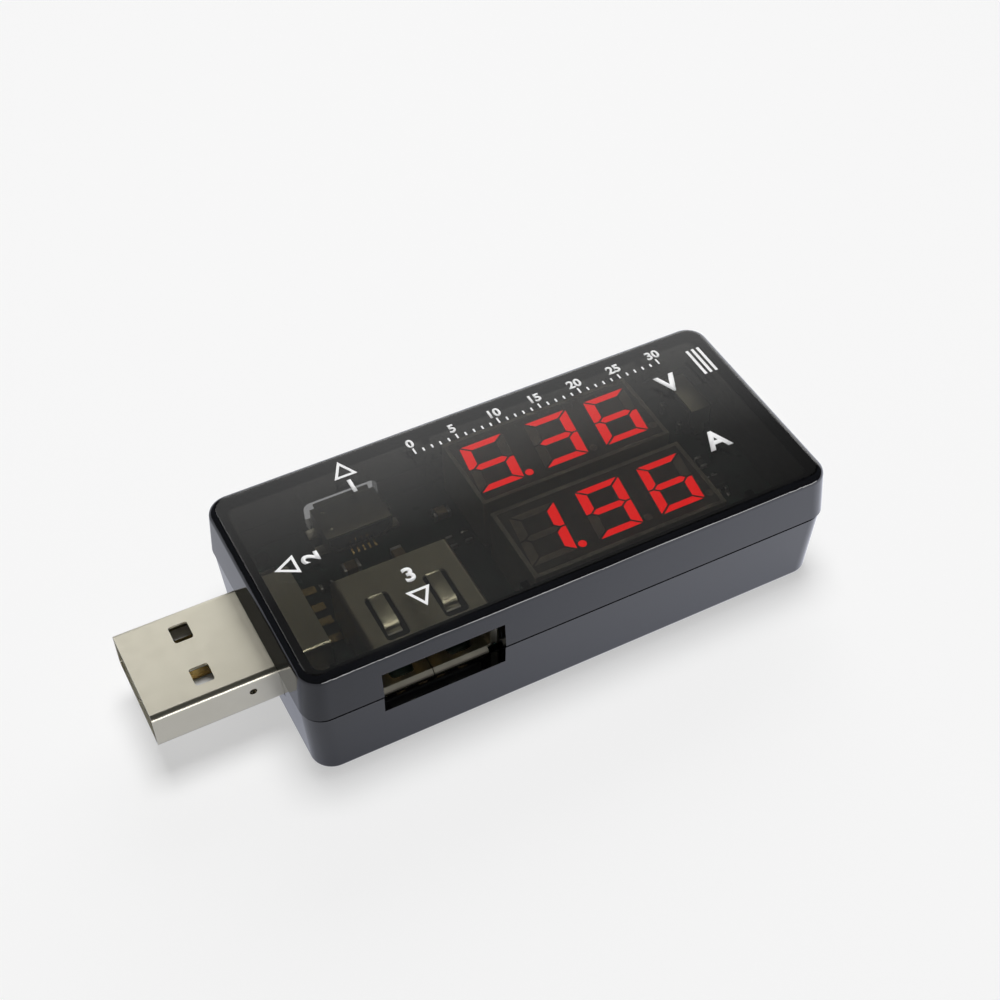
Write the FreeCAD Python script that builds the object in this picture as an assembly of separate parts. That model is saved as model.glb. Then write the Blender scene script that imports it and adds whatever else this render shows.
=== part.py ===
import FreeCAD, Part
import math
import os

# USB power meter: a smoked two-part case round one board, with a USB-A plug on its left end, a USB-A
# socket in the front, a micro socket in the back, two three-digit displays and a button in the right end.
# Millimetres, +Z up, front toward -Y. The origin is under the middle of the overall box.

Vec = FreeCAD.Vector

body_length, body_width, body_height = 60.5, 28.0, 15.0
plug_reach, button_proud = 13.0, 0.7
left = plug_reach - (plug_reach + body_length + button_proud) / 2
right = left + body_length

seam = 9.2                    # height of the line between the two halves of the case
seam_step = 0.12              # the lower half stands in this far at the seam
seam_groove = (0.40, 0.42)    # height and depth of the shadow line under the seam
wall = 1.6
floor_thick, roof_thick = 1.6, 1.5
corner = 2.4

board_top, board_thick = 6.5, 1.6
board_low = board_top - board_thick
board_inset, board_half_width = 2.2, 11.8
pin_low = board_low - 0.9     # where soldered pins end
play = 0.02                   # gap left between neighbouring parts

plug_width, plug_height, plug_sheet = 12.0, 4.5, 0.3
plug_low = 4.75
plug_rear = left + 6.0

socket_centre, socket_low, socket_sheet = left + 14.7, board_top + 0.05, 0.3
socket_width, socket_height = 13.1, 5.7
socket_lip, socket_bend, socket_rear = -11.8, -11.3, -1.1
contact_offsets = (-3.5, -1.0, 1.0, 3.5)

micro_centre, micro_low = left + 14.9, board_top + 0.05
micro_width, micro_height, micro_sheet = 7.5, 2.5, 0.3
micro_rear, micro_mouth = 7.2, 12.0

display_centre = left + 37.6
display_rows = {"voltage": 5.5, "current": -6.0}
display_size = (22.6, 10.0)
display_low, display_top = board_top + 0.05, 13.15
face_thick, cavity_depth, display_rim = 0.15, 1.2, 0.5
digit_offsets = (-7.76, 0.0, 7.42)
digit_lean = math.tan(math.radians(7.6))
bar_span, digit_rise = 4.10, 6.2
bar_half_x, bar_half_y = 0.65, 0.51      # of upright and level bars, before the gap is taken off
bar_gap, cavity_gap = 0.12, 0.10
dot_offset, dot_radius = (2.9, -3.1), 0.57
readings = {"voltage": "536", "current": "196"}

button_centre, button_low, button_high, button_half = 7.7, 7.45, 9.05, 1.45
switch_left, switch_right = left + 54.2, left + 57.4
peg_places = ((left + 4.6, -10.0), (left + 4.6, 10.0), (left + 55.5, -10.0), (left + 51.4, 10.3))


def box(x0, x1, y0, y1, z0, z1):
    return Part.makeBox(x1 - x0, y1 - y0, z1 - z0, Vec(x0, y0, z0))


def rod(x, y, z0, z1, radius):
    return Part.makeCylinder(radius, z1 - z0, Vec(x, y, z0), Vec(0, 0, 1))


def place(axis, a, b, along):
    """A point of the plane across an axis: (x, y) for z, (x, z) for y, (y, z) for x."""
    return {"z": Vec(a, b, along), "y": Vec(a, along, b), "x": Vec(along, a, b)}[axis]


def prism(points, axis, start, length):
    corners = [place(axis, a, b, start) for a, b in points]
    face = Part.Face(Part.makePolygon(corners + corners[:1]))
    return face.extrude(place(axis, 0, 0, length))


def outline(axis, a0, a1, b0, b1, radius, along):
    """A rounded rectangle as a wire."""
    k = radius * (1 - math.sqrt(0.5))
    p = lambda a, b: place(axis, a, b, along)
    line = lambda s, e: Part.LineSegment(p(*s), p(*e)).toShape()
    arc = lambda s, m, e: Part.Arc(p(*s), p(*m), p(*e)).toShape()
    return Part.Wire([
        line((a0 + radius, b0), (a1 - radius, b0)),
        arc((a1 - radius, b0), (a1 - k, b0 + k), (a1, b0 + radius)),
        line((a1, b0 + radius), (a1, b1 - radius)),
        arc((a1, b1 - radius), (a1 - k, b1 - k), (a1 - radius, b1)),
        line((a1 - radius, b1), (a0 + radius, b1)),
        arc((a0 + radius, b1), (a0 + k, b1 - k), (a0, b1 - radius)),
        line((a0, b1 - radius), (a0, b0 + radius)),
        arc((a0, b0 + radius), (a0 + k, b0 + k), (a0 + radius, b0))])


def case_block(inset_low, z_low, inset_high, z_high, radius):
    """A rounded block, inset from the case's plan by its own amount at each end."""
    ends = [outline("z", left + i, right - i, -body_width / 2 + i, body_width / 2 - i, radius, z)
            for i, z in ((inset_low, z_low), (inset_high, z_high))]
    return Part.makeLoft(ends, True, True)


def rounded_bar(axis, a0, a1, b0, b1, radius, start, length):
    return Part.Face(outline(axis, a0, a1, b0, b1, radius, start)).extrude(place(axis, 0, 0, length))


def bent_strip(path, thick, axis, start, width):
    """A sheet-metal strip: the path is its centre line, seen along the axis it is wide in."""
    sides = ([], [])
    for i, (a, b) in enumerate(path):
        steps = []
        if i > 0:
            steps.append((a - path[i - 1][0], b - path[i - 1][1]))
        if i < len(path) - 1:
            steps.append((path[i + 1][0] - a, path[i + 1][1] - b))
        units = [(u / math.hypot(u, w), w / math.hypot(u, w)) for u, w in steps]
        nx, ny = -sum(w for _, w in units), sum(u for u, _ in units)
        size = math.hypot(nx, ny)
        nx, ny = nx / size, ny / size
        reach = thick / 2 / max(0.3, -units[0][1] * nx + units[0][0] * ny)
        sides[0].append((a + nx * reach, b + ny * reach))
        sides[1].append((a - nx * reach, b - ny * reach))
    return prism(sides[0] + sides[1][::-1], axis, start, width)


def rounded_edges(shape, radius, chosen):
    return shape.makeFillet(radius, [e for e in shape.Edges if chosen(e)])


def level_edge(z):
    return lambda edge: all(abs(v.Z - z) < 1e-6 for v in edge.Vertexes)


# The case

def socket_opening():
    return box(left + 8.05, left + 21.4, -body_width, -11.9, board_top, 12.4)


def micro_opening():
    return rounded_bar("y", micro_centre - 4.3, micro_centre + 4.3, 6.0, 9.7, 0.8, 11.5, 4)


def catch_beads(radius):
    beads = []
    for side in (-1, 1):
        for x in (left + 30, left + 46):
            start = Vec(x, side * (body_width / 2 - 1.05), 9.75)
            beads.append(Part.makeCylinder(radius, 4, start, Vec(1, 0, 0)))
    return Part.makeCompound(beads)


def bottom_case():
    shell = case_block(0.65, 0, seam_step, seam, corner)
    shell = rounded_edges(shell, 0.5, level_edge(0))
    shell = shell.cut(case_block(0.65 + wall, floor_thick, seam_step + wall, seam + 0.01, 1.0))
    groove_height, groove_depth = seam_groove
    groove = case_block(-1, seam - groove_height, -1, seam + 1, corner)
    groove = groove.cut(case_block(groove_depth, seam - 1, groove_depth, seam + 2, corner - groove_depth))
    shell = shell.cut(groove)
    rim = case_block(1.0, seam - 0.3, 1.0, seam + 1.05, 1.6)
    rim = rim.cut(case_block(seam_step + wall - 0.06, seam - 1, seam_step + wall - 0.06, seam + 2, 1.06))
    shell = shell.fuse([rim] + catch_beads(0.22).Solids)
    for x, y in peg_places:
        peg = rod(x, y, board_low - 0.1, board_top + 0.5, 0.7)
        shell = shell.fuse(rod(x, y, floor_thick - 0.2, board_low, 1.5).fuse(peg))
    for x in (left + 14, left + 26, left + 38):
        shell = shell.fuse(box(x, x + 0.8, -12.2, 12.2, floor_thick - 0.2, floor_thick + 0.8))
    half_plug = plug_width / 2 + 0.06
    shell = shell.cut(box(left - 1, left + 3, -half_plug, half_plug, plug_low - 0.06, seam + 3))
    shell = shell.cut([socket_opening(), micro_opening()])
    half_button = button_half + 0.15
    return shell.cut(box(right - 3, right + 1, button_centre - half_button, button_centre + half_button,
                         button_low - 0.15, seam + 3))


def top_cover():
    shell = case_block(0, seam, 0.35, body_height, corner)
    shell = rounded_edges(shell, 0.9, level_edge(body_height))
    shell = shell.cut(case_block(1.8, seam - 0.5, 2.15, body_height - roof_thick, 1.0))
    shell = shell.cut(case_block(0.95, seam - 0.5, 0.95, seam + 1.1, 1.6))
    shell = shell.cut(catch_beads(0.28))
    for side in (-1, 1):
        for x in (left + 24.5, left + 51):
            ends = sorted((side * 11.0, side * 12.1))
            shell = shell.fuse(box(x, x + 0.8, *ends, board_top + 0.05, body_height - roof_thick + 0.2))
    half_plug = plug_width / 2 + 0.06
    shell = shell.cut(box(left - 1, left + 3, -half_plug, half_plug, seam - 1, plug_low + plug_height + 0.06))
    return shell.cut([socket_opening(), micro_opening()])


# The board and what is soldered to it

def display_pin_places(row):
    middle = display_rows[row]
    places = [(display_centre + (i - 2.5) * 2.54, middle + 3.9) for i in range(6)]
    return places + [(display_centre + (i - 2.5) * 2.54, middle - 3.9) for i in range(5)]


def all_display_pins():
    return [spot for row in display_rows for spot in display_pin_places(row)]


def board_slots():
    """Slots for the sheet-metal legs of the socket and the switch."""
    slots = [box(x - 0.3, x + 0.3, -4.8, -2.8, 0, 12)
             for x in (socket_centre - socket_width / 2 + 0.15, socket_centre + socket_width / 2 - 0.15)]
    slots += [box(left + 55.0, left + 56.6, y - 0.3, y + 0.3, 0, 12)
              for y in (button_centre - 2.92, button_centre + 2.92)]
    return slots


def main_board():
    board = rounded_bar("z", left + board_inset, right - board_inset, -board_half_width, board_half_width,
                        0.8, board_low, board_thick)
    cuts = [box(left, plug_rear + 0.3, -6.3, 6.3, 0, 12),
            box(left + 7.3, left + 22.1, -13, socket_bend + 0.1, 0, 12)]
    cuts += [rod(x, y, 0, 12, 0.75) for x, y in peg_places]
    cuts += [rod(x, y, 0, 12, 0.4) for x, y in all_display_pins()]
    cuts += [rod(socket_centre + x, -0.8, 0, 12, 0.65) for x in contact_offsets]
    cuts += [rod(left + 53.7, y, 0, 12, 0.45) for y in (button_centre - 1.8, button_centre + 1.8)]
    return board.cut(cuts + board_slots())


def solder_joints():
    """Cones of solder under the board round each through pin."""
    spots = [(x, y, 0.75, 0.25, 0.15) for x, y in all_display_pins()]
    spots += [(socket_centre + x, -0.8, 1.0, 0.5, 0.1) for x in contact_offsets]
    spots += [(left + 53.7, y, 0.8, 0.1, 0.3) for y in (button_centre - 1.8, button_centre + 1.8)]
    joints = []
    for x, y, radius, half_x, half_y in spots:
        cone = Part.makeCone(0.3, radius, 0.6, Vec(x, y, board_low - 0.6 - play))
        around_x, around_y = half_x + play, half_y + play
        joints.append(cone.cut(box(x - around_x, x + around_x, y - around_y, y + around_y, 0, 12)))
    return Part.makeCompound(joints)


# The USB-A plug

def plug_section(inset, x0, x1):
    half = plug_width / 2 - inset
    return rounded_bar("x", -half, half, plug_low + inset, plug_low + plug_height - inset,
                       max(0.2, 0.6 - inset), x0, x1 - x0)


def plug_windows():
    holes = []
    for side in (-1, 1):
        for z in (plug_low - 1, plug_low + plug_height - 1):
            holes.append(rounded_bar("z", left - 7.75, left - 5.75,
                                     side * 3 - 1.15, side * 3 + 1.15, 0.3, z, 2))
    for side in (-1, 1):
        holes.append(Part.makeCylinder(0.4, 2, Vec(left - 2.7, side * 6 - 1, 7.4), Vec(0, 1, 0)))
    return holes


def plug_shell():
    shell = plug_section(0, left - plug_reach, plug_rear)
    shell = shell.cut(plug_section(plug_sheet, left - plug_reach - 1, plug_rear + 1))
    feet = [box(left + 2.6, left + 5.2, *sorted((side * 5.85, side * 8.2)), board_top + play, board_top + 0.3)
            for side in (-1, 1)]
    seam_line = box(left - 14, plug_rear + 1, -0.05, 0.05, plug_low - 1, plug_low + 1)
    return shell.cut(plug_windows()).fuse(feet).cut(seam_line)


def plug_contact_paths():
    """Centre lines of the four contacts; the outer two reach further forward."""
    face = plug_low + plug_sheet + 2.02
    paths = []
    for offset in contact_offsets:
        tip = left - plug_reach + (1.2 if abs(offset) > 2 else 2.2)
        paths.append((offset, [(tip, face - 0.35), (tip + 0.6, face), (left - 1, face), (left + 6.2, face),
                               (left + 6.5, board_top + 0.13), (left + 8.0, board_top + 0.13)]))
    return paths


def plug_contacts():
    return Part.makeCompound([bent_strip(path, 0.2, "y", y - 0.5, 1.0) for y, path in plug_contact_paths()])


def plug_insulator():
    tongue = box(left - plug_reach + 0.4, left, -5.5, 5.5,
                 plug_low + plug_sheet + play, plug_low + plug_sheet + 1.95)
    block = plug_section(plug_sheet + play, left - 1.5, plug_rear - 0.1)
    grooves = []
    for y, path in plug_contact_paths():
        tip, face = path[0][0], path[1][1]
        grooves.append(box(tip - 0.15, tip + 1.0, y - 0.52, y + 0.52, face - 0.62, face + 0.12))
        grooves.append(box(tip, plug_rear + 1, y - 0.52, y + 0.52, face - 0.12, face + 0.12))
    return tongue.fuse(block).cut(grooves)


# The USB-A socket

def socket_ring(grow, y0, grow_end, y1):
    """A solid across the socket between two outlines, each grown from the outer size."""
    ends = []
    for g, y in ((grow, y0), (grow_end, y1)):
        ends.append(outline("y", socket_centre - socket_width / 2 - g, socket_centre + socket_width / 2 + g,
                            socket_low - g, socket_low + socket_height + g, 0.6 + min(0, g), y))
    return Part.makeLoft(ends, True, True)


def spring_finger(x, direction):
    """A tongue cut free of the shell on three sides, bent inward and curled at the tip."""
    plate = socket_low + (socket_height - 0.15 if direction < 0 else 0.15)
    path = [(-4.3, plate), (-4.9, plate), (-8.3, plate + 0.08 * direction), (-9.0, plate + 0.58 * direction),
            (-9.5, plate + 0.5 * direction)]
    return bent_strip(path, 0.22, "x", x - 0.78, 1.56)


def socket_shell():
    sheet = socket_sheet
    tube = socket_ring(0, socket_bend, 0, socket_rear).cut(socket_ring(-sheet, -14, -sheet, 0))
    lips = socket_ring(0, socket_bend, 0.5, socket_lip)
    lips = lips.cut(socket_ring(-sheet, socket_bend, 0.22, socket_lip))
    half, high = socket_width / 2, socket_low + socket_height
    for x0 in (socket_centre - half - 1, socket_centre + half - 0.7):
        for z0 in (socket_low - 1, high - 0.7):
            lips = lips.cut(box(x0, x0 + 1.7, -13, socket_bend - 0.01, z0, z0 + 1.7))
    shell = tube.fuse(lips)
    for x in (socket_centre - 3.2, socket_centre + 3.2):
        for z0, direction in ((high - 1, -1), (socket_low - 1, 1)):
            shell = shell.cut(rounded_bar("z", x - 1.28, x + 1.28, -10.7, -4.6, 0.5, z0, 2))
            shell = shell.fuse(spring_finger(x, direction))
    for x in (socket_centre - half, socket_centre + half - sheet):
        shell = shell.fuse(box(x, x + sheet, -4.6, -3.0, pin_low, socket_low + 2))
    seam_gap = box(socket_centre - 0.35, socket_centre - 0.25, -13, 0, socket_low - 1, socket_low + 1)
    return shell.cut(seam_gap)


def socket_contact_path():
    return [(-10.2, 9.46), (-9.7, 9.46), (-8.7, 9.05), (-7.5, 9.46), (-0.8, 9.46), (-0.8, pin_low)]


def socket_contacts():
    return Part.makeCompound([bent_strip(socket_contact_path(), 0.2, "x", socket_centre + x - 0.5, 1.0)
                              for x in contact_offsets])


def socket_insulator():
    inner = socket_sheet + play
    half = socket_width / 2 - inner
    block = rounded_bar("y", socket_centre - half, socket_centre + half, socket_low + inner,
                        socket_low + socket_height - inner, 0.35, -3.2, socket_rear + 3.2)
    tongue = box(socket_centre - 5.5, socket_centre + 5.5, -10.4, -3.0, 9.58, 11.3)
    tongue = rounded_edges(tongue, 0.3, lambda e: all(v.Y < -10 for v in e.Vertexes)
                           and abs(e.Length - 11) < 0.01)
    channels = [box(socket_centre + x - 0.52, socket_centre + x + 0.52, -3.3, 0, 9.34, 9.58)
                for x in contact_offsets]
    return block.fuse(tongue).cut(channels)


# The micro socket

def micro_outline(inset):
    half, low, high = micro_width / 2 - inset, micro_low + inset, micro_low + micro_height - inset
    return [(micro_centre - half, high), (micro_centre - half, low + 0.95), (micro_centre - half + 0.95, low),
            (micro_centre + half - 0.95, low), (micro_centre + half, low + 0.95), (micro_centre + half, high)]


def micro_socket_shell():
    shell = prism(micro_outline(0), "y", micro_rear, micro_mouth - micro_rear)
    shell = shell.cut(prism(micro_outline(micro_sheet), "y", micro_rear - 1, 8))
    high, root, tip = micro_low + micro_height, micro_mouth - 0.05, micro_mouth + 0.35
    upper_lip = [(root, high - 0.3), (tip, high + 0.1), (tip, high + 0.35), (root, high)]
    lower_lip = [(root, micro_low + 0.3), (tip, micro_low - 0.1), (tip, micro_low - 0.35), (root, micro_low)]
    lips = [prism(upper_lip, "x", micro_centre - 3.2, 6.4), prism(lower_lip, "x", micro_centre - 2.4, 4.8)]
    half, rows = micro_width / 2, (7.6, 10.2)
    feet = [box(x, x + 1.3, y, y + 1.2, board_top + play, board_top + 0.3)
            for x in (micro_centre - half - 1.0, micro_centre + half - 0.3) for y in rows]
    posts = [box(x, x + 0.3, y, y + 1.2, board_top + play, micro_low + 1.4)
             for x in (micro_centre - half, micro_centre + half - 0.3) for y in rows]
    dimples = [rod(micro_centre - 2.7, y, high - 0.18, high + 0.2, 0.28) for y in (8.3, 10.9)]
    return shell.fuse(lips + feet + posts).cut(dimples)


def micro_contact_path():
    return [(11.6, 7.62), (7.0, 7.62), (6.8, board_top + 0.1), (6.1, board_top + 0.1)]


def micro_socket_contacts():
    return Part.makeCompound([bent_strip(micro_contact_path(), 0.12, "x", micro_centre + i * 0.65 - 0.12, 0.24)
                              for i in range(-2, 3)])


def micro_socket_insulator():
    inner = micro_sheet + play
    block = prism(micro_outline(inner), "y", micro_rear, 1.0)
    tongue = box(micro_centre - 1.9, micro_centre + 1.9, 8.0, 11.7, 7.7, 8.3)
    channels = [box(micro_centre + i * 0.65 - 0.14, micro_centre + i * 0.65 + 0.14, 6, 8.3, 7.54, 7.7)
                for i in range(-2, 3)]
    return block.fuse(tongue).cut(channels)


# The displays

def bar_shapes():
    """The seven bars of a digit, named a to g clockwise from the top with g in the middle."""
    s, r, w, h = bar_span / 2, digit_rise / 2, bar_half_x, bar_half_y
    upper = [(s + w, r + h), (s - w, r - h), (s - w, h), (s, 0), (s + w, 0)]
    top = [(-s - w, r + h), (s + w, r + h), (s - w, r - h), (-s + w, r - h)]
    middle = [(-s, 0), (-s + w, h), (s - w, h), (s, 0), (s - w, -h), (-s + w, -h)]
    flip = lambda points, u, v: [(a * u, b * v) for a, b in points]
    return {"a": top, "b": upper, "c": flip(upper, 1, -1), "d": flip(top, 1, -1),
            "e": flip(upper, -1, -1), "f": flip(upper, -1, 1), "g": middle}


lit_bars = {"1": "bc", "3": "abcdg", "5": "acdfg", "6": "acdefg", "9": "abcdfg"}


def display_bars(row, gap):
    """Lit and dark light bars of a display, as flat shapes with a gap taken off all round."""
    middle, lit, dark = display_rows[row], [], []
    for place_number, (offset, digit) in enumerate(zip(digit_offsets, readings[row])):
        x = display_centre + offset
        for name, points in bar_shapes().items():
            leaning = [Vec(x + u + v * digit_lean, middle + v, 0) for u, v in points]
            face = Part.Face(Part.makePolygon(leaning + leaning[:1])).makeOffset2D(-gap, 2)
            (lit if name in lit_bars[digit] else dark).append(face)
        spot = Vec(x + dot_offset[0], middle + dot_offset[1], 0)
        dot = Part.Face(Part.Wire(Part.makeCircle(dot_radius - gap, spot)))
        (lit if place_number == 0 else dark).append(dot)
    return lit, dark


def raised(faces, z0, z1):
    solids = []
    for face in faces:
        solid = face.extrude(Vec(0, 0, z1 - z0))
        solid.translate(Vec(0, 0, z0))
        solids += solid.Solids
    return solids


def display_block(row, z0, z1, inset):
    middle = display_rows[row]
    half_x, half_y = display_size[0] / 2 - inset, display_size[1] / 2 - inset
    return box(display_centre - half_x, display_centre + half_x, middle - half_y, middle + half_y, z0, z1)


def display_parts(row):
    cavities = sum(display_bars(row, cavity_gap), [])
    lit, dark = display_bars(row, bar_gap)
    block = display_block(row, display_low, display_top, 0)
    block = rounded_edges(block, 0.15, lambda e: abs(e.Length - (display_top - display_low)) < 0.01)
    pocket = display_block(row, display_top - face_thick - play, display_top + 1, display_rim - play)
    housing = block.cut([pocket] + raised(cavities, display_top - cavity_depth, display_top + 1))
    face = display_block(row, display_top - face_thick, display_top, display_rim).cut(
        raised(cavities, display_top - 1, display_top + 1))
    base = display_top - cavity_depth + play
    pins = [box(x - 0.25, x + 0.25, y - 0.15, y + 0.15, pin_low, display_low - play)
            for x, y in display_pin_places(row)]
    return {row + "_display_housing": housing, row + "_display_face": face,
            row + "_display_lit_bars": Part.makeCompound(raised(lit, base, display_top)),
            row + "_display_dark_bars": Part.makeCompound(raised(dark, base, display_top)),
            row + "_display_pins": Part.makeCompound(pins)}


# The button and its switch

def switch_body():
    body = box(switch_left, switch_right, button_centre - 2.8, button_centre + 2.8, board_top + play, 9.9)
    hollow = box(switch_left + 0.5, switch_right - 0.5, button_centre - 2.05, button_centre + 2.05, 7.0, 9.5)
    half = button_half + 0.05
    mouth = box(switch_right - 1, switch_right + 1, button_centre - half, button_centre + half,
                button_low - 0.05, button_high + 0.05)
    return body.cut([hollow, mouth])


def switch_frame():
    """Folded plate over the switch, with two legs through the board."""
    x0, x1, sheet = left + 54.6, left + 57.0, 0.2
    outer = box(x0, x1, button_centre - 3.02, button_centre + 3.02, 7.6, 10.12)
    frame = outer.cut(box(x0 - 1, x1 + 1, button_centre - 2.82, button_centre + 2.82, 5, 9.92))
    legs = [box(left + 55.2, left + 56.4, y, y + sheet, pin_low, 7.8)
            for y in (button_centre - 3.02, button_centre + 2.82)]
    return frame.fuse(legs)


def switch_pins():
    path = [(switch_left - play, 7.6), (left + 53.7, 7.6), (left + 53.7, pin_low)]
    return Part.makeCompound([bent_strip(path, 0.2, "y", y - 0.3, 0.6)
                              for y in (button_centre - 1.8, button_centre + 1.8)])


def switch_dome():
    """Snap dome on the back of the switch's hollow, bulging toward the button."""
    base, rise, half = switch_left + 0.5 + play, 0.35, 1.1
    radius = (half ** 2 + rise ** 2) / (2 * rise)
    centre = Vec(base + rise - radius, button_centre, 8.25)
    dome = Part.makeSphere(radius, centre).cut(Part.makeSphere(radius - 0.1, centre))
    return dome.common(box(base, base + 1, button_centre - 2, button_centre + 2, 6, 10))


def menu_button():
    stem = box(switch_left + 1.2, right + button_proud, button_centre - button_half,
               button_centre + button_half, button_low, button_high)
    stem = rounded_edges(stem, 0.2, lambda e: all(abs(v.X - right - button_proud) < 1e-6 for v in e.Vertexes))
    flange = box(switch_left + 1.2, switch_left + 2.0, button_centre - 1.95, button_centre + 1.95, 7.1, 9.4)
    return stem.fuse(flange)


# Small parts on both faces of the board

# middle of each part, its turn, and whether it is on the upper face
resistor_places = [(9.2, 3.2, 0, 1), (23.4, 2.6, 90, 1), (25.2, 2.6, 90, 1), (51.6, 0.2, 90, 1),
                   (53.2, 0.2, 90, 1), (18.5, -7.5, 0, 0), (18.5, -5.5, 0, 0), (22.5, -7.5, 0, 0),
                   (22.5, -5.5, 0, 0), (46.5, 1.0, 90, 0), (48.2, 1.0, 90, 0), (27.5, 9.0, 90, 0)]
capacitor_places = [(17.6, 3.4, 90, 1), (12.4, 4.2, 0, 1), (24.2, 6.8, 0, 1), (50.9, 5.2, 90, 1),
                    (12.0, -6.8, 90, 0), (26.5, -6.5, 90, 0), (49.5, -5.0, 90, 0), (22.0, 9.2, 0, 0)]


def surface(upper):
    """Height of a board face and the direction that leads away from it."""
    return (board_top + play, 1) if upper else (board_low - play, -1)


def chip_pair(x, y, turn, upper, length, width, height):
    """A chip part's body and its two metal ends."""
    z, way = surface(upper)
    if turn:
        spans = lambda a0, a1, b0, b1: (x + b0, x + b1, y + a0, y + a1)
    else:
        spans = lambda a0, a1, b0, b1: (x + a0, x + a1, y + b0, y + b1)
    rise = sorted((z, z + way * height))
    half, end = length / 2, length * 0.2
    body = box(*spans(-half + end, half - end, -width / 2, width / 2), *rise)
    ends = [box(*spans(a0, a1, -width / 2, width / 2), *rise)
            for a0, a1 in ((-half, -half + end - play), (half - end + play, half))]
    return body, ends


def chip_groups(places, length, width, height):
    bodies, ends = [], []
    for x, y, turn, upper in places:
        body, pair = chip_pair(left + x, y, turn, upper, length, width, height)
        bodies.append(body)
        ends += pair
    return Part.makeCompound(bodies), Part.makeCompound(ends)


def leaded_chip(x, y, length, width, height, pitch, upper):
    """A moulded chip with a row of bent leads along each long side."""
    z, way = surface(upper)
    low, high = z + way * 0.1, z + way * (height + 0.1)
    body = box(x - length / 2, x + length / 2, y - width / 2, y + width / 2, *sorted((low, high)))
    leads, middle = [], (low + high) / 2
    count = int((length - 0.5) // pitch) + 1
    for i in range(count):
        lead_x = x + (i - (count - 1) / 2) * pitch - 0.2
        for side in (-1, 1):
            edge = y + side * (width / 2 + play)
            path = [(edge, middle), (edge + side * 0.4, middle), (edge + side * 0.6, z + way * 0.1),
                    (edge + side * 1.1, z + way * 0.1)]
            leads.append(bent_strip(path, 0.16, "x", lead_x, 0.4))
    return body, Part.makeCompound(leads)


def small_parts():
    shunt_body, shunt_ends = chip_pair(left + 13.5, 4.5, 0, False, 6.4, 3.2, 0.7)
    parts = {"shunt_resistor_body": shunt_body, "shunt_resistor_ends": Part.makeCompound(shunt_ends)}
    parts["chip_resistor_bodies"], parts["chip_resistor_ends"] = chip_groups(resistor_places, 1.6, 0.8, 0.5)
    parts["chip_capacitor_bodies"], parts["chip_capacitor_ends"] = chip_groups(capacitor_places, 2.0, 1.25, 0.9)
    chips = {"microcontroller": (left + 37.5, display_rows["voltage"], 9.9, 3.9, 1.5, 1.27, False),
             "amplifier": (left + 24.6, 2.6, 4.9, 3.9, 1.5, 1.27, False),
             "regulator": (left + 52.5, -3.6, 2.9, 1.5, 1.0, 0.95, True)}
    for name, sizes in chips.items():
        parts[name + "_body"], parts[name + "_leads"] = leaded_chip(*sizes)
    return parts


def build():
    nodes = {"bottom_case": bottom_case(), "top_cover": top_cover(), "main_board": main_board(),
             "solder_joints": solder_joints(), "plug_shell": plug_shell(), "plug_insulator": plug_insulator(),
             "plug_contacts": plug_contacts(), "socket_shell": socket_shell(),
             "socket_insulator": socket_insulator(), "socket_contacts": socket_contacts(),
             "micro_socket_shell": micro_socket_shell(), "micro_socket_insulator": micro_socket_insulator(),
             "micro_socket_contacts": micro_socket_contacts(), "switch_body": switch_body(),
             "switch_frame": switch_frame(), "switch_pins": switch_pins(), "switch_dome": switch_dome(),
             "menu_button": menu_button()}
    for row in display_rows:
        nodes.update(display_parts(row))
    nodes.update(small_parts())
    return nodes


os.makedirs("parts", exist_ok=True)
for name, shape in build().items():
    size = shape.BoundBox
    spans = (size.XMin, size.XMax, size.YMin, size.YMax, size.ZMin, size.ZMax)
    print("%-26s solids %2d valid %s" % (name, len(shape.Solids), shape.isValid()),
          " x %.2f %.2f  y %.2f %.2f  z %.2f %.2f" % spans)
    shape.exportStep("parts/%s.step" % name)
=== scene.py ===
import math

import bpy
from mathutils import Matrix, Vector


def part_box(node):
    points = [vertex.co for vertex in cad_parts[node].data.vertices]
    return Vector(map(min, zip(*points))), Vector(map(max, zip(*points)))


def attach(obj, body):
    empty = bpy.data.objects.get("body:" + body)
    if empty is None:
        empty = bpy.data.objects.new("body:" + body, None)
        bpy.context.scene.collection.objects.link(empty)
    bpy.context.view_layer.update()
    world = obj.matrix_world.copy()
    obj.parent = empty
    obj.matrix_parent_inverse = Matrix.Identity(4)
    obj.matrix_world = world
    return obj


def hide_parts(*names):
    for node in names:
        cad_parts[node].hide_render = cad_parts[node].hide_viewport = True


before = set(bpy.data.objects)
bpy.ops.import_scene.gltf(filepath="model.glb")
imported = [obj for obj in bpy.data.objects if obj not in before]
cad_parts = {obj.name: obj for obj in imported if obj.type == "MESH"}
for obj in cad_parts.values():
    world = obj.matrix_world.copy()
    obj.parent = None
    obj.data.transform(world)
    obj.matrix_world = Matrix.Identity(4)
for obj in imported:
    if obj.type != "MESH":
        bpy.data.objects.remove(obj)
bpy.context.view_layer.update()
mm = 0.001
meterBody = "meter"
coverLow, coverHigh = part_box("top_cover")
caseLeft = coverLow.x
topFace = coverHigh.z
print("stage: frame loaded")


def pickOnly(piece):
    if bpy.context.mode != "OBJECT":
        bpy.ops.object.mode_set(mode="OBJECT")
    bpy.ops.object.select_all(action="DESELECT")
    piece.select_set(True)
    bpy.context.view_layer.objects.active = piece


def applyModifiers(piece):
    pickOnly(piece)
    for modifier in list(piece.modifiers):
        bpy.ops.object.modifier_apply(modifier=modifier.name)


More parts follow.
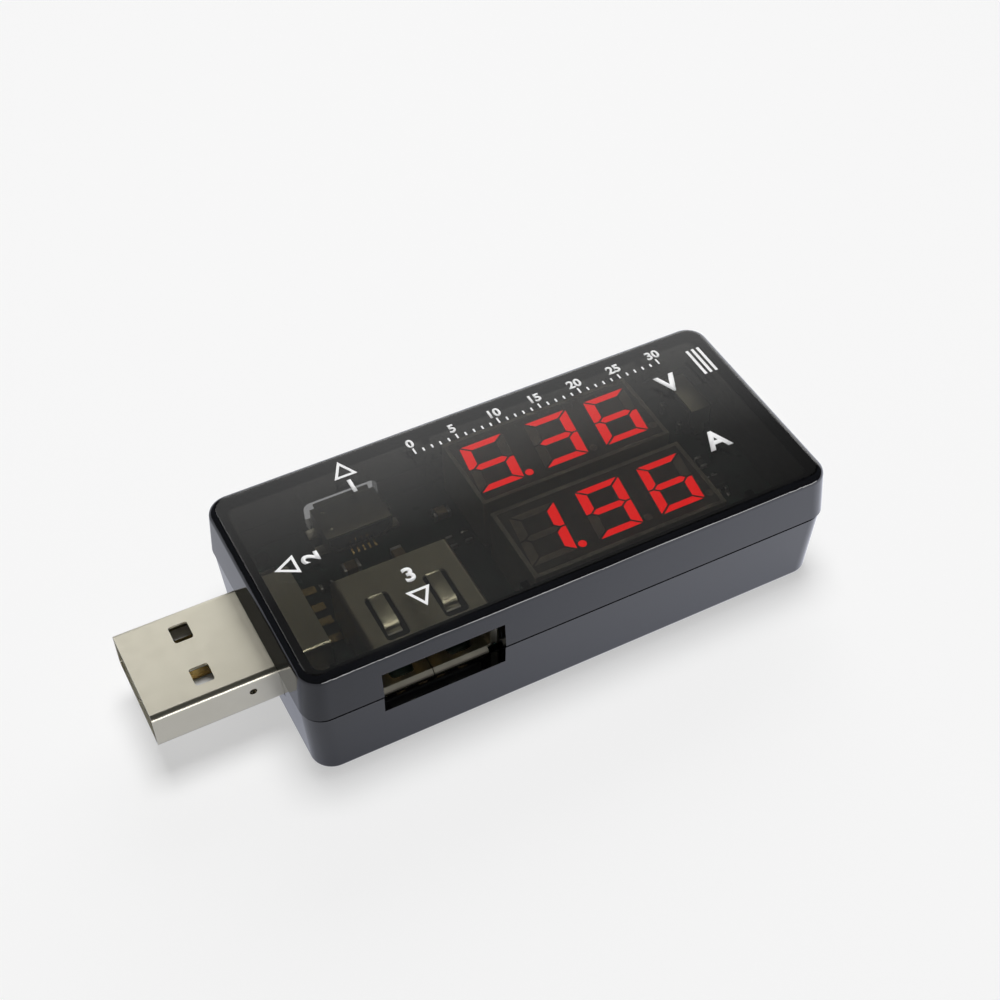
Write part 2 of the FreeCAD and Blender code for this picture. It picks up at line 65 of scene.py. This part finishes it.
def pickFaces(piece, test):
    # edit mode is left open, with only the faces that pass the test selected
    pickOnly(piece)
    bpy.ops.object.mode_set(mode="EDIT")
    bpy.ops.mesh.select_mode(type="FACE")
    bpy.ops.mesh.select_all(action="DESELECT")
    bpy.ops.object.mode_set(mode="OBJECT")
    for face in piece.data.polygons:
        face.select = test(face)
    bpy.ops.object.mode_set(mode="EDIT")


def joinPieces(parts, name):
    pickOnly(parts[0])
    for part in parts[1:]:
        part.select_set(True)
    if len(parts) > 1:
        bpy.ops.object.join()
    joined = bpy.context.view_layer.objects.active
    joined.name = name
    joined.data.name = name
    return joined


def dress(piece, material, bodyName=meterBody):
    pickOnly(piece)
    bpy.ops.object.transform_apply(location=True, rotation=True, scale=True)
    piece.data.materials.clear()
    piece.data.materials.append(material)
    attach(piece, bodyName)
    return piece


refineLook = {"merge": 0.002, "flat": 0.6, "sharp": 35, "segments": 2,      # mm, degrees, degrees
              "smooth": 50, "smoothUnbevelled": 32, "flatWeight": 100}      # degrees, degrees


def refine(nodeName, material, edge=0.05, bodyName=meterBody):
    # a merged copy with softly bevelled edges stands for the solid
    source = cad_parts[nodeName]
    piece = source.copy()
    piece.data = source.data.copy()
    piece.parent = None
    for key in list(piece.keys()):
        if key.startswith("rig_"):
            del piece[key]
    bpy.context.scene.collection.objects.link(piece)
    piece.name = nodeName + "_finish"
    pickOnly(piece)
    bpy.ops.object.mode_set(mode="EDIT")
    bpy.ops.mesh.select_all(action="SELECT")
    bpy.ops.mesh.remove_doubles(threshold=refineLook["merge"] * mm)
    bpy.ops.mesh.dissolve_limited(angle_limit=math.radians(refineLook["flat"]))
    bpy.ops.object.mode_set(mode="OBJECT")
    if piece.data.has_custom_normals:
        bpy.ops.mesh.customdata_custom_splitnormals_clear()
    if edge:
        bevel = piece.modifiers.new("softEdge", "BEVEL")
        bevel.width, bevel.segments = edge * mm, refineLook["segments"]
        bevel.limit_method, bevel.angle_limit = "ANGLE", math.radians(refineLook["sharp"])
        applyModifiers(piece)
    pickOnly(piece)
    smooth = refineLook["smooth"] if edge else refineLook["smoothUnbevelled"]
    bpy.ops.object.shade_smooth_by_angle(angle=math.radians(smooth))
    flatten = piece.modifiers.new("flatFaces", "WEIGHTED_NORMAL")           # broad faces shade flat beside soft edges
    flatten.weight, flatten.keep_sharp = refineLook["flatWeight"], True
    applyModifiers(piece)
    dress(piece, material, bodyName)
    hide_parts(nodeName)
    return piece


def newFinish(name, color, roughness, metallic=0.0, ior=1.5):
    finish = bpy.data.materials.new(name)
    finish.use_nodes = True
    shader = finish.node_tree.nodes["Principled BSDF"]
    shader.inputs["Base Color"].default_value = (*color, 1)
    shader.inputs["Roughness"].default_value = roughness
    shader.inputs["Metallic"].default_value = metallic
    shader.inputs["IOR"].default_value = ior
    return finish, shader


def addNode(finish, kind, **values):
    node = finish.node_tree.nodes.new(kind)
    for key, value in values.items():
        if key in node.inputs:
            node.inputs[key].default_value = value
        else:
            setattr(node, key, value)
    return node


def link(finish, source, target):
    finish.node_tree.links.new(source, target)


def objectSpace(finish, stretch=(1, 1, 1)):
    place = addNode(finish, "ShaderNodeTexCoord")
    mapping = addNode(finish, "ShaderNodeMapping")
    mapping.inputs["Scale"].default_value = stretch
    link(finish, place.outputs["Object"], mapping.inputs["Vector"])
    return mapping.outputs["Vector"]


def spreadValue(finish, source, fromLow, fromHigh, toLow, toHigh):
    spread = addNode(finish, "ShaderNodeMapRange")
    for key, value in (("From Min", fromLow), ("From Max", fromHigh), ("To Min", toLow), ("To Max", toHigh)):
        spread.inputs[key].default_value = value
    link(finish, source, spread.inputs["Value"])
    return spread.outputs["Result"]


cloudRange = (0.3, 0.7)                                                     # the part of the noise that is spread out


def cloud(finish, vector, scale, low=0.0, high=1.0, detail=4.0):
    noise = addNode(finish, "ShaderNodeTexNoise", Scale=scale, Detail=detail)
    link(finish, vector, noise.inputs["Vector"])
    return spreadValue(finish, noise.outputs["Fac"], *cloudRange, low, high)


def mixColors(finish, factor, first, second):
    mix = addNode(finish, "ShaderNodeMix", data_type="RGBA")
    link(finish, factor, mix.inputs[0])
    for socket, color in ((6, first), (7, second)):
        if isinstance(color, tuple):
            mix.inputs[socket].default_value = (*color, 1)
        else:
            link(finish, color, mix.inputs[socket])
    return mix.outputs[2]


def addBump(finish, shader, height, strength, distance):
    bump = addNode(finish, "ShaderNodeBump", Strength=strength, Distance=distance * mm)
    link(finish, height, bump.inputs["Height"])
    link(finish, bump.outputs["Normal"], shader.inputs["Normal"])


windowLook = {"tint": (0.275, 0.27, 0.245), "plainRough": 0.04, "roughness": (0.015, 0.04), "roughScale": 300,
              "ior": 1.5, "ripple": 0.01, "rippleScale": 60, "rippleDepth": 0.03}


def makeSmokedWindow():
    finish, shader = newFinish("smokedWindow", windowLook["tint"], windowLook["plainRough"], ior=windowLook["ior"])
    shader.inputs["Transmission Weight"].default_value = 1.0
    vector = objectSpace(finish)
    rough = cloud(finish, vector, windowLook["roughScale"], *windowLook["roughness"])
    link(finish, rough, shader.inputs["Roughness"])
    ripple = cloud(finish, vector, windowLook["rippleScale"], detail=1.0)
    addBump(finish, shader, ripple, windowLook["ripple"], windowLook["rippleDepth"])
    return finish


plasticLook = {"dark": (0.0030, 0.0034, 0.0050), "light": (0.0048, 0.0053, 0.0075), "tintScale": 120,
               "plainRough": 0.1, "roughness": (0.04, 0.10), "roughScale": 420, "ior": 1.65,
               "ripple": 0.04, "rippleScale": 240, "rippleDepth": 0.03}


def makeDarkPlastic():
    finish, shader = newFinish("darkPlastic", plasticLook["dark"], plasticLook["plainRough"], ior=plasticLook["ior"])
    vector = objectSpace(finish)
    patches = cloud(finish, vector, plasticLook["tintScale"])
    link(finish, mixColors(finish, patches, plasticLook["dark"], plasticLook["light"]), shader.inputs["Base Color"])
    rough = cloud(finish, vector, plasticLook["roughScale"], *plasticLook["roughness"])
    link(finish, rough, shader.inputs["Roughness"])
    ripple = cloud(finish, vector, plasticLook["rippleScale"])
    addBump(finish, shader, ripple, plasticLook["ripple"], plasticLook["rippleDepth"])
    return finish


nickelLook = {"light": (0.80, 0.76, 0.63), "deep": (0.77, 0.73, 0.60), "tintScale": 350,
              "plainRough": 0.28, "roughness": (0.28, 0.31), "roughScale": 900,
              "grain": 0.03, "grainScale": 500, "grainDepth": 0.01}         # a soft satin grain


def makeNickel():
    finish, shader = newFinish("satinNickel", nickelLook["light"], nickelLook["plainRough"], metallic=1.0)
    vector = objectSpace(finish)
    rough = cloud(finish, vector, nickelLook["roughScale"], *nickelLook["roughness"])
    link(finish, rough, shader.inputs["Roughness"])
    patches = cloud(finish, vector, nickelLook["tintScale"])
    link(finish, mixColors(finish, patches, nickelLook["deep"], nickelLook["light"]), shader.inputs["Base Color"])
    grain = cloud(finish, vector, nickelLook["grainScale"], detail=1.0)
    addBump(finish, shader, grain, nickelLook["grain"], nickelLook["grainDepth"])
    return finish


speckleLook = {"roughSpread": (0.8, 1.25), "roughScale": 0.4, "bumpDepth": 0.03}      # shares of the given values, mm


def makeSpeckled(name, dark, light, roughness, metallic=0.0, scale=600, bump=0.1, ior=1.5):
    finish, shader = newFinish(name, light, roughness, metallic, ior)
    vector = objectSpace(finish)
    tint = mixColors(finish, cloud(finish, vector, scale), dark, light)
    link(finish, tint, shader.inputs["Base Color"])
    smoother, rougher = (roughness * share for share in speckleLook["roughSpread"])
    rough = cloud(finish, vector, scale * speckleLook["roughScale"], smoother, min(1, rougher))
    link(finish, rough, shader.inputs["Roughness"])
    addBump(finish, shader, cloud(finish, vector, scale), bump, speckleLook["bumpDepth"])
    return finish


boardLook = {"mask": (0.008, 0.026, 0.020), "track": (0.014, 0.044, 0.034), "trackScale": 420, "trackWidth": 0.16,
             "trackRandom": 0.75, "trackEdge": 0.5, "throughBoard": 0.02, "plainRough": 0.32,
             "roughness": (0.26, 0.40), "roughScale": 500, "bump": 0.3, "bumpDepth": 0.02}


def makeBoardGreen():
    # lacquer over copper tracks: cells with straight sides, their borders left as the gaps
    finish, shader = newFinish("boardGreen", boardLook["mask"], boardLook["plainRough"])
    vector = objectSpace(finish, (1, 1, boardLook["throughBoard"]))
    cells = addNode(finish, "ShaderNodeTexVoronoi", Scale=boardLook["trackScale"], Randomness=boardLook["trackRandom"])
    cells.distance = "CHEBYCHEV"
    cells.feature = "F1"
    link(finish, vector, cells.inputs["Vector"])
    edge = boardLook["trackEdge"]
    track = spreadValue(finish, cells.outputs["Distance"], edge - boardLook["trackWidth"], edge, 1.0, 0.0)
    link(finish, mixColors(finish, track, boardLook["mask"], boardLook["track"]), shader.inputs["Base Color"])
    rough = cloud(finish, vector, boardLook["roughScale"], *boardLook["roughness"])
    link(finish, rough, shader.inputs["Roughness"])
    addBump(finish, shader, track, boardLook["bump"], boardLook["bumpDepth"])
    return finish


litLook = {"glow": (1.0, 0.002, 0.002), "strength": 2.3, "dark": (0.20, 0.003, 0.002), "light": (0.30, 0.004, 0.003),
           "tintScale": 500, "roughness": 0.5}


def makeLitRed():
    finish, shader = newFinish("litRed", litLook["light"], litLook["roughness"])
    shader.inputs["Emission Color"].default_value = (*litLook["glow"], 1)
    shader.inputs["Emission Strength"].default_value = litLook["strength"]
    patches = cloud(finish, objectSpace(finish), litLook["tintScale"])
    link(finish, mixColors(finish, patches, litLook["dark"], litLook["light"]), shader.inputs["Base Color"])
    return finish


smokedWindow = makeSmokedWindow()
darkPlastic = makeDarkPlastic()
nickel = makeNickel()
boardGreen = makeBoardGreen()
litRed = makeLitRed()
# name, darker and lighter colour, roughness, then how metallic, the speckle's scale and its bump where they differ
gold = makeSpeckled("thinGold", (0.62, 0.44, 0.17), (0.86, 0.66, 0.33), 0.25, 1.0, 900)
tin = makeSpeckled("brightTin", (0.55, 0.55, 0.56), (0.78, 0.78, 0.78), 0.3, 1.0, 900)
solderMetal = makeSpeckled("solderMetal", (0.5, 0.5, 0.5), (0.75, 0.75, 0.76), 0.22, 1.0, 1200, 0.3)
whiteMoulding = makeSpeckled("whiteMoulding", (0.74, 0.74, 0.72), (0.84, 0.84, 0.82), 0.45)
blackMoulding = makeSpeckled("blackMoulding", (0.012, 0.012, 0.013), (0.022, 0.022, 0.024), 0.4)
displayShell = makeSpeckled("displayShell", (0.40, 0.37, 0.32), (0.50, 0.46, 0.40), 0.5)
displayFace = makeSpeckled("displayFace", (0.10, 0.085, 0.07), (0.14, 0.12, 0.10), 0.6)
darkDiffuser = makeSpeckled("darkDiffuser", (0.32, 0.27, 0.22), (0.42, 0.36, 0.30), 0.5)
chipEpoxy = makeSpeckled("chipEpoxy", (0.020, 0.020, 0.021), (0.04, 0.04, 0.042), 0.6)
chipCeramic = makeSpeckled("chipCeramic", (0.02, 0.02, 0.022), (0.05, 0.05, 0.055), 0.35)
capacitorTan = makeSpeckled("capacitorTan", (0.34, 0.24, 0.14), (0.50, 0.37, 0.24), 0.5)
printWhite = makeSpeckled("printWhite", (0.86, 0.86, 0.86), (0.95, 0.95, 0.95), 0.5)
print("stage: materials made")

windowPlace = {"skin": 0.06, "roof": 1.5, "level": 0.99}                    # mm off a face, roof in mm, normal's share


def glazeCover(cover):
    # the flat top and the underside of the roof are see-through; the walls stay dark
    cover.data.materials.append(smokedWindow)
    cover.active_material_index = 1
    roof = topFace - windowPlace["roof"] * mm
    skin = windowPlace["skin"] * mm
    level = windowPlace["level"]
    pickFaces(cover, lambda face: (face.normal.z > level and face.center.z > topFace - skin)
              or (face.normal.z < -level and abs(face.center.z - roof) < skin))
    bpy.ops.object.material_slot_assign()
    bpy.ops.object.mode_set(mode="OBJECT")


glazeCover(refine("top_cover", darkPlastic, 0.06))

# the groove's dark and light colours and low IOR are painted shade: darker and less glossy than the case's own plastic
seamLook = {"low": 8.795, "high": 9.21, "dark": (0.0015, 0.0015, 0.002), "light": (0.003, 0.003, 0.004),
            "roughness": 0.8, "ior": 1.2}                                   # heights in mm


def shadeSeam(case):
    # the shadow groove under the seam gets a rough finish darker than the case plastic: painted shade
    seamPaintedShade = makeSpeckled("seamPaintedShade", seamLook["dark"], seamLook["light"], seamLook["roughness"],
                             ior=seamLook["ior"])
    case.data.materials.append(seamPaintedShade)
    for face in case.data.polygons:
        if seamLook["low"] * mm < face.center.z < seamLook["high"] * mm:
            face.material_index = 1


shadeSeam(refine("bottom_case", darkPlastic, 0.03))
refine("main_board", boardGreen, 0.04)
refine("plug_shell", nickel, 0.05)
refine("plug_insulator", whiteMoulding, 0.05)
refine("plug_contacts", gold, 0.03)
refine("socket_shell", nickel, 0.04)
refine("socket_insulator", blackMoulding, 0.05)
refine("socket_contacts", gold, 0.03)
refine("micro_socket_shell", nickel, 0.03)
refine("micro_socket_insulator", blackMoulding, 0.03)
refine("micro_socket_contacts", gold, 0.02)
refine("switch_body", blackMoulding, 0.05)
refine("switch_frame", nickel, 0.03)
refine("switch_pins", tin, 0.02)
refine("switch_dome", nickel, 0)
refine("menu_button", blackMoulding, 0.06, bodyName="button")
refine("solder_joints", solderMetal, 0.04)
for row in ("voltage", "current"):
    refine(row + "_display_housing", displayShell, 0.04)
    refine(row + "_display_face", displayFace, 0)
    refine(row + "_display_lit_bars", litRed, 0)
    refine(row + "_display_dark_bars", darkDiffuser, 0)
    refine(row + "_display_pins", tin, 0.02)
for name in ("microcontroller", "amplifier", "regulator"):
    refine(name + "_body", chipEpoxy, 0.06)
    refine(name + "_leads", tin, 0.02)
refine("chip_resistor_bodies", chipCeramic, 0.04)
refine("chip_resistor_ends", tin, 0.04)
refine("chip_capacitor_bodies", capacitorTan, 0.05)
refine("chip_capacitor_ends", tin, 0.05)
refine("shunt_resistor_body", chipCeramic, 0.05)
refine("shunt_resistor_ends", tin, 0.05)
print("stage: solids refined")

printLook = {"thick": 0.02, "sunk": 0.004}                                  # mm


def layOnCover(piece, x, y, turn=0.0):
    # x is measured from the case's left face, y from its middle
    piece.data.transform(Matrix.Rotation(math.radians(turn), 4, "Z"))
    piece.data.transform(Matrix.Translation((caseLeft + x * mm, y * mm, topFace - printLook["sunk"] * mm)))
    return piece


def thicken(piece):
    pickOnly(piece)
    bpy.ops.object.mode_set(mode="EDIT")
    bpy.ops.mesh.select_all(action="SELECT")
    bpy.ops.mesh.extrude_region_move(TRANSFORM_OT_translate={"value": (0, 0, printLook["thick"] * mm)})
    bpy.ops.mesh.select_all(action="SELECT")
    bpy.ops.mesh.normals_make_consistent(inside=False)
    bpy.ops.object.mode_set(mode="OBJECT")


arrowLook = {"line": 0.30, "width": 2.6, "length": 2.4,                     # mm; places are x, y, turn in degrees
             "places": {"backArrow": (14.98, 9.85, 0), "leftArrow": (5.73, 1.07, 90),
                        "frontArrow": (14.93, -7.58, 180)}}


def printArrow(name, x, y, turn):
    bpy.ops.object.select_all(action="DESELECT")
    bpy.ops.mesh.primitive_circle_add(vertices=3, radius=1, fill_type="NGON")
    arrow = bpy.context.object
    arrow.name = name
    for vertex in arrow.data.vertices:                                      # corners at Y 1 and -0.5, one along +Y
        vertex.co.x *= arrowLook["width"] / 2 / math.cos(math.radians(30)) * mm
        vertex.co.y = (vertex.co.y + 0.5) / 1.5 * arrowLook["length"] * mm
    bpy.ops.object.mode_set(mode="EDIT")
    bpy.ops.mesh.select_all(action="SELECT")
    bpy.ops.mesh.inset(thickness=arrowLook["line"] * mm)
    bpy.ops.mesh.delete(type="FACE")
    bpy.ops.object.mode_set(mode="OBJECT")
    thicken(arrow)
    return dress(layOnCover(arrow, x, y, turn), printWhite)


lettering = {"capital": 0.7, "curveSteps": 6, "merge": 0.0005}              # a capital's share of the text size


def makeSign(words, high, bold):
    bpy.ops.object.select_all(action="DESELECT")
    bpy.ops.object.text_add()
    sign = bpy.context.object
    sign.data.body = words
    sign.data.size = high * mm / lettering["capital"]
    sign.data.align_x, sign.data.align_y = "CENTER", "CENTER"
    sign.data.offset = bold * mm
    sign.data.resolution_u = lettering["curveSteps"]
    bpy.ops.object.convert(target="MESH")
    sign = bpy.context.object
    pickOnly(sign)
    bpy.ops.object.mode_set(mode="EDIT")
    bpy.ops.mesh.select_all(action="SELECT")
    bpy.ops.mesh.remove_doubles(threshold=lettering["merge"] * mm)
    bpy.ops.object.mode_set(mode="OBJECT")
    thicken(sign)
    return sign


signLook = {"backNumber": ("1", 15.0, 8.25, 1.75, 0, 0.10), "leftNumber": ("2", 7.3, 1.15, 1.75, 90, 0.10),
            "frontNumber": ("3", 15.0, -5.6, 1.75, 0, 0.10),                # words, x, y, height, turn, boldness
            "unitVolt": ("V", 52.2, 6.1, 2.55, 0, 0.12), "unitAmpere": ("A", 52.0, -3.85, 2.55, 0, 0.12)}

for name, (words, x, y, high, turn, bold) in signLook.items():
    sign = makeSign(words, high, bold)
    sign.name = name
    dress(layOnCover(sign, x, y, turn), printWhite)

for name, place in arrowLook["places"].items():
    printArrow(name, *place)


def makeBar(x, y, width, height):
    bpy.ops.object.select_all(action="DESELECT")
    bpy.ops.mesh.primitive_plane_add(size=1)
    bar = bpy.context.object
    bar.data.transform(Matrix.Diagonal((width * mm, height * mm, 1, 1)))
    bar.data.transform(Matrix.Translation((x * mm, y * mm, 0)))
    thicken(bar)
    return bar


rulerLook = {"start": 22.9, "count": 31, "base": 9.45, "short": 0.50, "middle": 0.70, "long": 0.85, "line": 0.20,
             "longEvery": 10, "numberEvery": 5, "numberHigh": 1.15, "numberRise": 1.58, "bold": 0.06}      # mm


def printRuler():
    marks = []
    for i in range(rulerLook["count"]):
        x = rulerLook["start"] + i
        numbered = i % rulerLook["numberEvery"] == 0
        rise = rulerLook["middle"] if numbered else rulerLook["short"]
        if i % rulerLook["longEvery"] == 0:
            rise = rulerLook["long"]
        marks.append(makeBar(x, rulerLook["base"] + rise / 2, rulerLook["line"], rise))
        if numbered:
            number = makeSign(str(i), rulerLook["numberHigh"], rulerLook["bold"])
            number.data.transform(Matrix.Translation((x * mm, (rulerLook["base"] + rulerLook["numberRise"]) * mm, 0)))
            marks.append(number)
    dress(layOnCover(joinPieces(marks, "ruler"), 0, 0), printWhite)


printRuler()

menuLook = {"x": 57.35, "y": 7.7, "length": 4.2, "gap": 0.68, "line": 0.34}


def printMenuSign():
    bars = [makeBar(menuLook["x"] + i * menuLook["gap"], menuLook["y"], menuLook["line"], menuLook["length"])
            for i in (-1, 0, 1)]
    dress(layOnCover(joinPieces(bars, "menuSign"), 0, 0), printWhite)


printMenuSign()
print("stage: cover printed")

floorLook = {"size": 4.0, "color": (0.92, 0.92, 0.92), "glow": 1.0, "share": 0.5,
             "mirrorTint": (0.84, 0.87, 1.0), "mirrorShare": 0.8, "mirrorX": (-0.030, 0.045),
             "mirrorGlow": (0.52, 1.5)}                                     # the mirrored floor brightens along X


def makeFloor():
    # the glow lifts the floor for the camera and in reflections; the matt part takes the shadow
    finish = bpy.data.materials.new("paleFloor")
    finish.use_nodes = True
    finish.node_tree.nodes.clear()
    matt = addNode(finish, "ShaderNodeBsdfDiffuse", Color=(*floorLook["color"], 1))
    paths = addNode(finish, "ShaderNodeLightPath")
    seen = addNode(finish, "ShaderNodeEmission", Color=(1, 1, 1, 1), Strength=floorLook["glow"])
    mirrored = addNode(finish, "ShaderNodeEmission", Color=(*floorLook["mirrorTint"], 1))
    place = addNode(finish, "ShaderNodeSeparateXYZ")
    link(finish, objectSpace(finish), place.inputs["Vector"])
    fade = spreadValue(finish, place.outputs["X"], *floorLook["mirrorX"], *floorLook["mirrorGlow"])
    link(finish, fade, mirrored.inputs["Strength"])
    reflected = addNode(finish, "ShaderNodeMath", operation="MAXIMUM")
    link(finish, paths.outputs["Is Glossy Ray"], reflected.inputs[0])
    link(finish, paths.outputs["Is Transmission Ray"], reflected.inputs[1])
    output = matt.outputs["BSDF"]
    for ray, glow, share in ((reflected.outputs["Value"], mirrored, floorLook["mirrorShare"]),
                             (paths.outputs["Is Camera Ray"], seen, floorLook["share"])):
        part = addNode(finish, "ShaderNodeMath", operation="MULTIPLY")
        part.inputs[1].default_value = share
        link(finish, ray, part.inputs[0])
        mix = addNode(finish, "ShaderNodeMixShader")
        link(finish, part.outputs["Value"], mix.inputs[0])
        link(finish, output, mix.inputs[1])
        link(finish, glow.outputs["Emission"], mix.inputs[2])
        output = mix.outputs["Shader"]
    surface = addNode(finish, "ShaderNodeOutputMaterial")
    link(finish, output, surface.inputs["Surface"])
    bpy.ops.object.select_all(action="DESELECT")
    bpy.ops.mesh.primitive_plane_add(size=floorLook["size"], location=(0, 0, 0))
    floor = bpy.context.object
    floor.name = "floor"
    floor.data.materials.append(finish)


makeFloor()

lampLook = {"overhead": {"place": (0.05, 0.10, 0.80), "size": (0.34, 0.34), "power": 5.2, "mirrored": False},
            "frontStrip": {"place": (0.18, -0.60, 0.05), "size": (0.8, 0.09), "power": 1.5, "spread": False},
            "plugGlow": {"place": (0.004, 0.512, 0.613), "size": (0.12, 0.22), "power": 0.10, "spread": False}}


def addLamp(name, place, size, power, mirrored=True, spread=True):
    # a lamp that isn't mirrored lights the scene only, one that isn't spread shows in reflections only
    data = bpy.data.lights.new(name, "AREA")
    data.shape, data.energy = "RECTANGLE", power
    data.size, data.size_y = size
    lamp = bpy.data.objects.new(name, data)
    bpy.context.scene.collection.objects.link(lamp)
    lamp.location = place
    lamp.rotation_euler = (-Vector(place)).to_track_quat("-Z", "Y").to_euler()
    lamp.visible_glossy, lamp.visible_diffuse, lamp.visible_transmission = mirrored, spread, spread


for name, values in lampLook.items():
    addLamp(name, **values)

worldLook = {"seen": 0.93, "bright": 2.3, "dim": 0.06,                      # strengths
             "slant": (0.25, 0.0, 1.0), "lowSky": (0.748, 0.802), "highShare": 0.17,
             "edge": (-0.189, 0.820, -0.540), "edgeSoft": (-0.07, 0.01), "westSoft": (0.02, 0.26)}


def makeWorld():
    # a bright low sky behind the meter, darker overhead and in front
    world = bpy.data.worlds.new("studio")
    bpy.context.scene.world = world
    world.use_nodes = True
    world.node_tree.nodes.clear()
    coords = addNode(world, "ShaderNodeTexCoord")
    side = addNode(world, "ShaderNodeVectorMath", operation="DOT_PRODUCT")
    side.inputs[1].default_value = worldLook["edge"]
    link(world, coords.outputs["Generated"], side.inputs[0])
    behind = spreadValue(world, side.outputs["Value"], *worldLook["edgeSoft"], 0.0, 1.0)
    split = addNode(world, "ShaderNodeSeparateXYZ")
    link(world, coords.outputs["Generated"], split.inputs["Vector"])
    height = addNode(world, "ShaderNodeVectorMath", operation="DOT_PRODUCT")
    height.inputs[1].default_value = worldLook["slant"]
    link(world, coords.outputs["Generated"], height.inputs[0])
    low = spreadValue(world, height.outputs["Value"], *worldLook["lowSky"], 1.0, worldLook["highShare"])
    east = spreadValue(world, split.outputs["X"], *worldLook["westSoft"], 0.0, 1.0)
    share = behind
    for factor in (low, east):
        both = addNode(world, "ShaderNodeMath", operation="MULTIPLY")
        link(world, share, both.inputs[0])
        link(world, factor, both.inputs[1])
        share = both.outputs["Value"]
    sky = spreadValue(world, share, 0.0, 1.0, worldLook["dim"], worldLook["bright"])
    paths = addNode(world, "ShaderNodeLightPath")
    choose = addNode(world, "ShaderNodeMix", data_type="FLOAT")
    choose.inputs[3].default_value = worldLook["seen"]
    link(world, paths.outputs["Is Camera Ray"], choose.inputs[0])
    link(world, sky, choose.inputs[2])
    background = addNode(world, "ShaderNodeBackground")
    link(world, choose.outputs[0], background.inputs["Strength"])
    output = addNode(world, "ShaderNodeOutputWorld")
    link(world, background.outputs["Background"], output.inputs["Surface"])


makeWorld()

cameraLook = {"place": (-49.24, -106.89, 140.28), "right": (0.8848, -0.4660, -0.0064),
              "up": (0.3488, 0.6530, 0.6722), "lens": 60.14, "sensor": 36,
              "shift": (-0.01908, 0.03403), "clip": (0.005, 20)}            # place, lens and sensor in mm


def addCamera():
    data = bpy.data.cameras.new("camera")
    data.lens, data.sensor_width = cameraLook["lens"], cameraLook["sensor"]
    data.shift_x, data.shift_y = cameraLook["shift"]
    data.clip_start, data.clip_end = cameraLook["clip"]
    camera = bpy.data.objects.new("camera", data)
    bpy.context.scene.collection.objects.link(camera)
    right = Vector(cameraLook["right"]).normalized()
    back = right.cross(Vector(cameraLook["up"])).normalized()
    turn = Matrix((right, back.cross(right), back)).transposed().to_4x4()
    camera.matrix_world = Matrix.Translation(Vector(cameraLook["place"]) * mm) @ turn
    bpy.context.scene.camera = camera


addCamera()
bpy.context.scene.view_settings.view_transform = "Standard"
print("stage: floor, lamps and camera set")
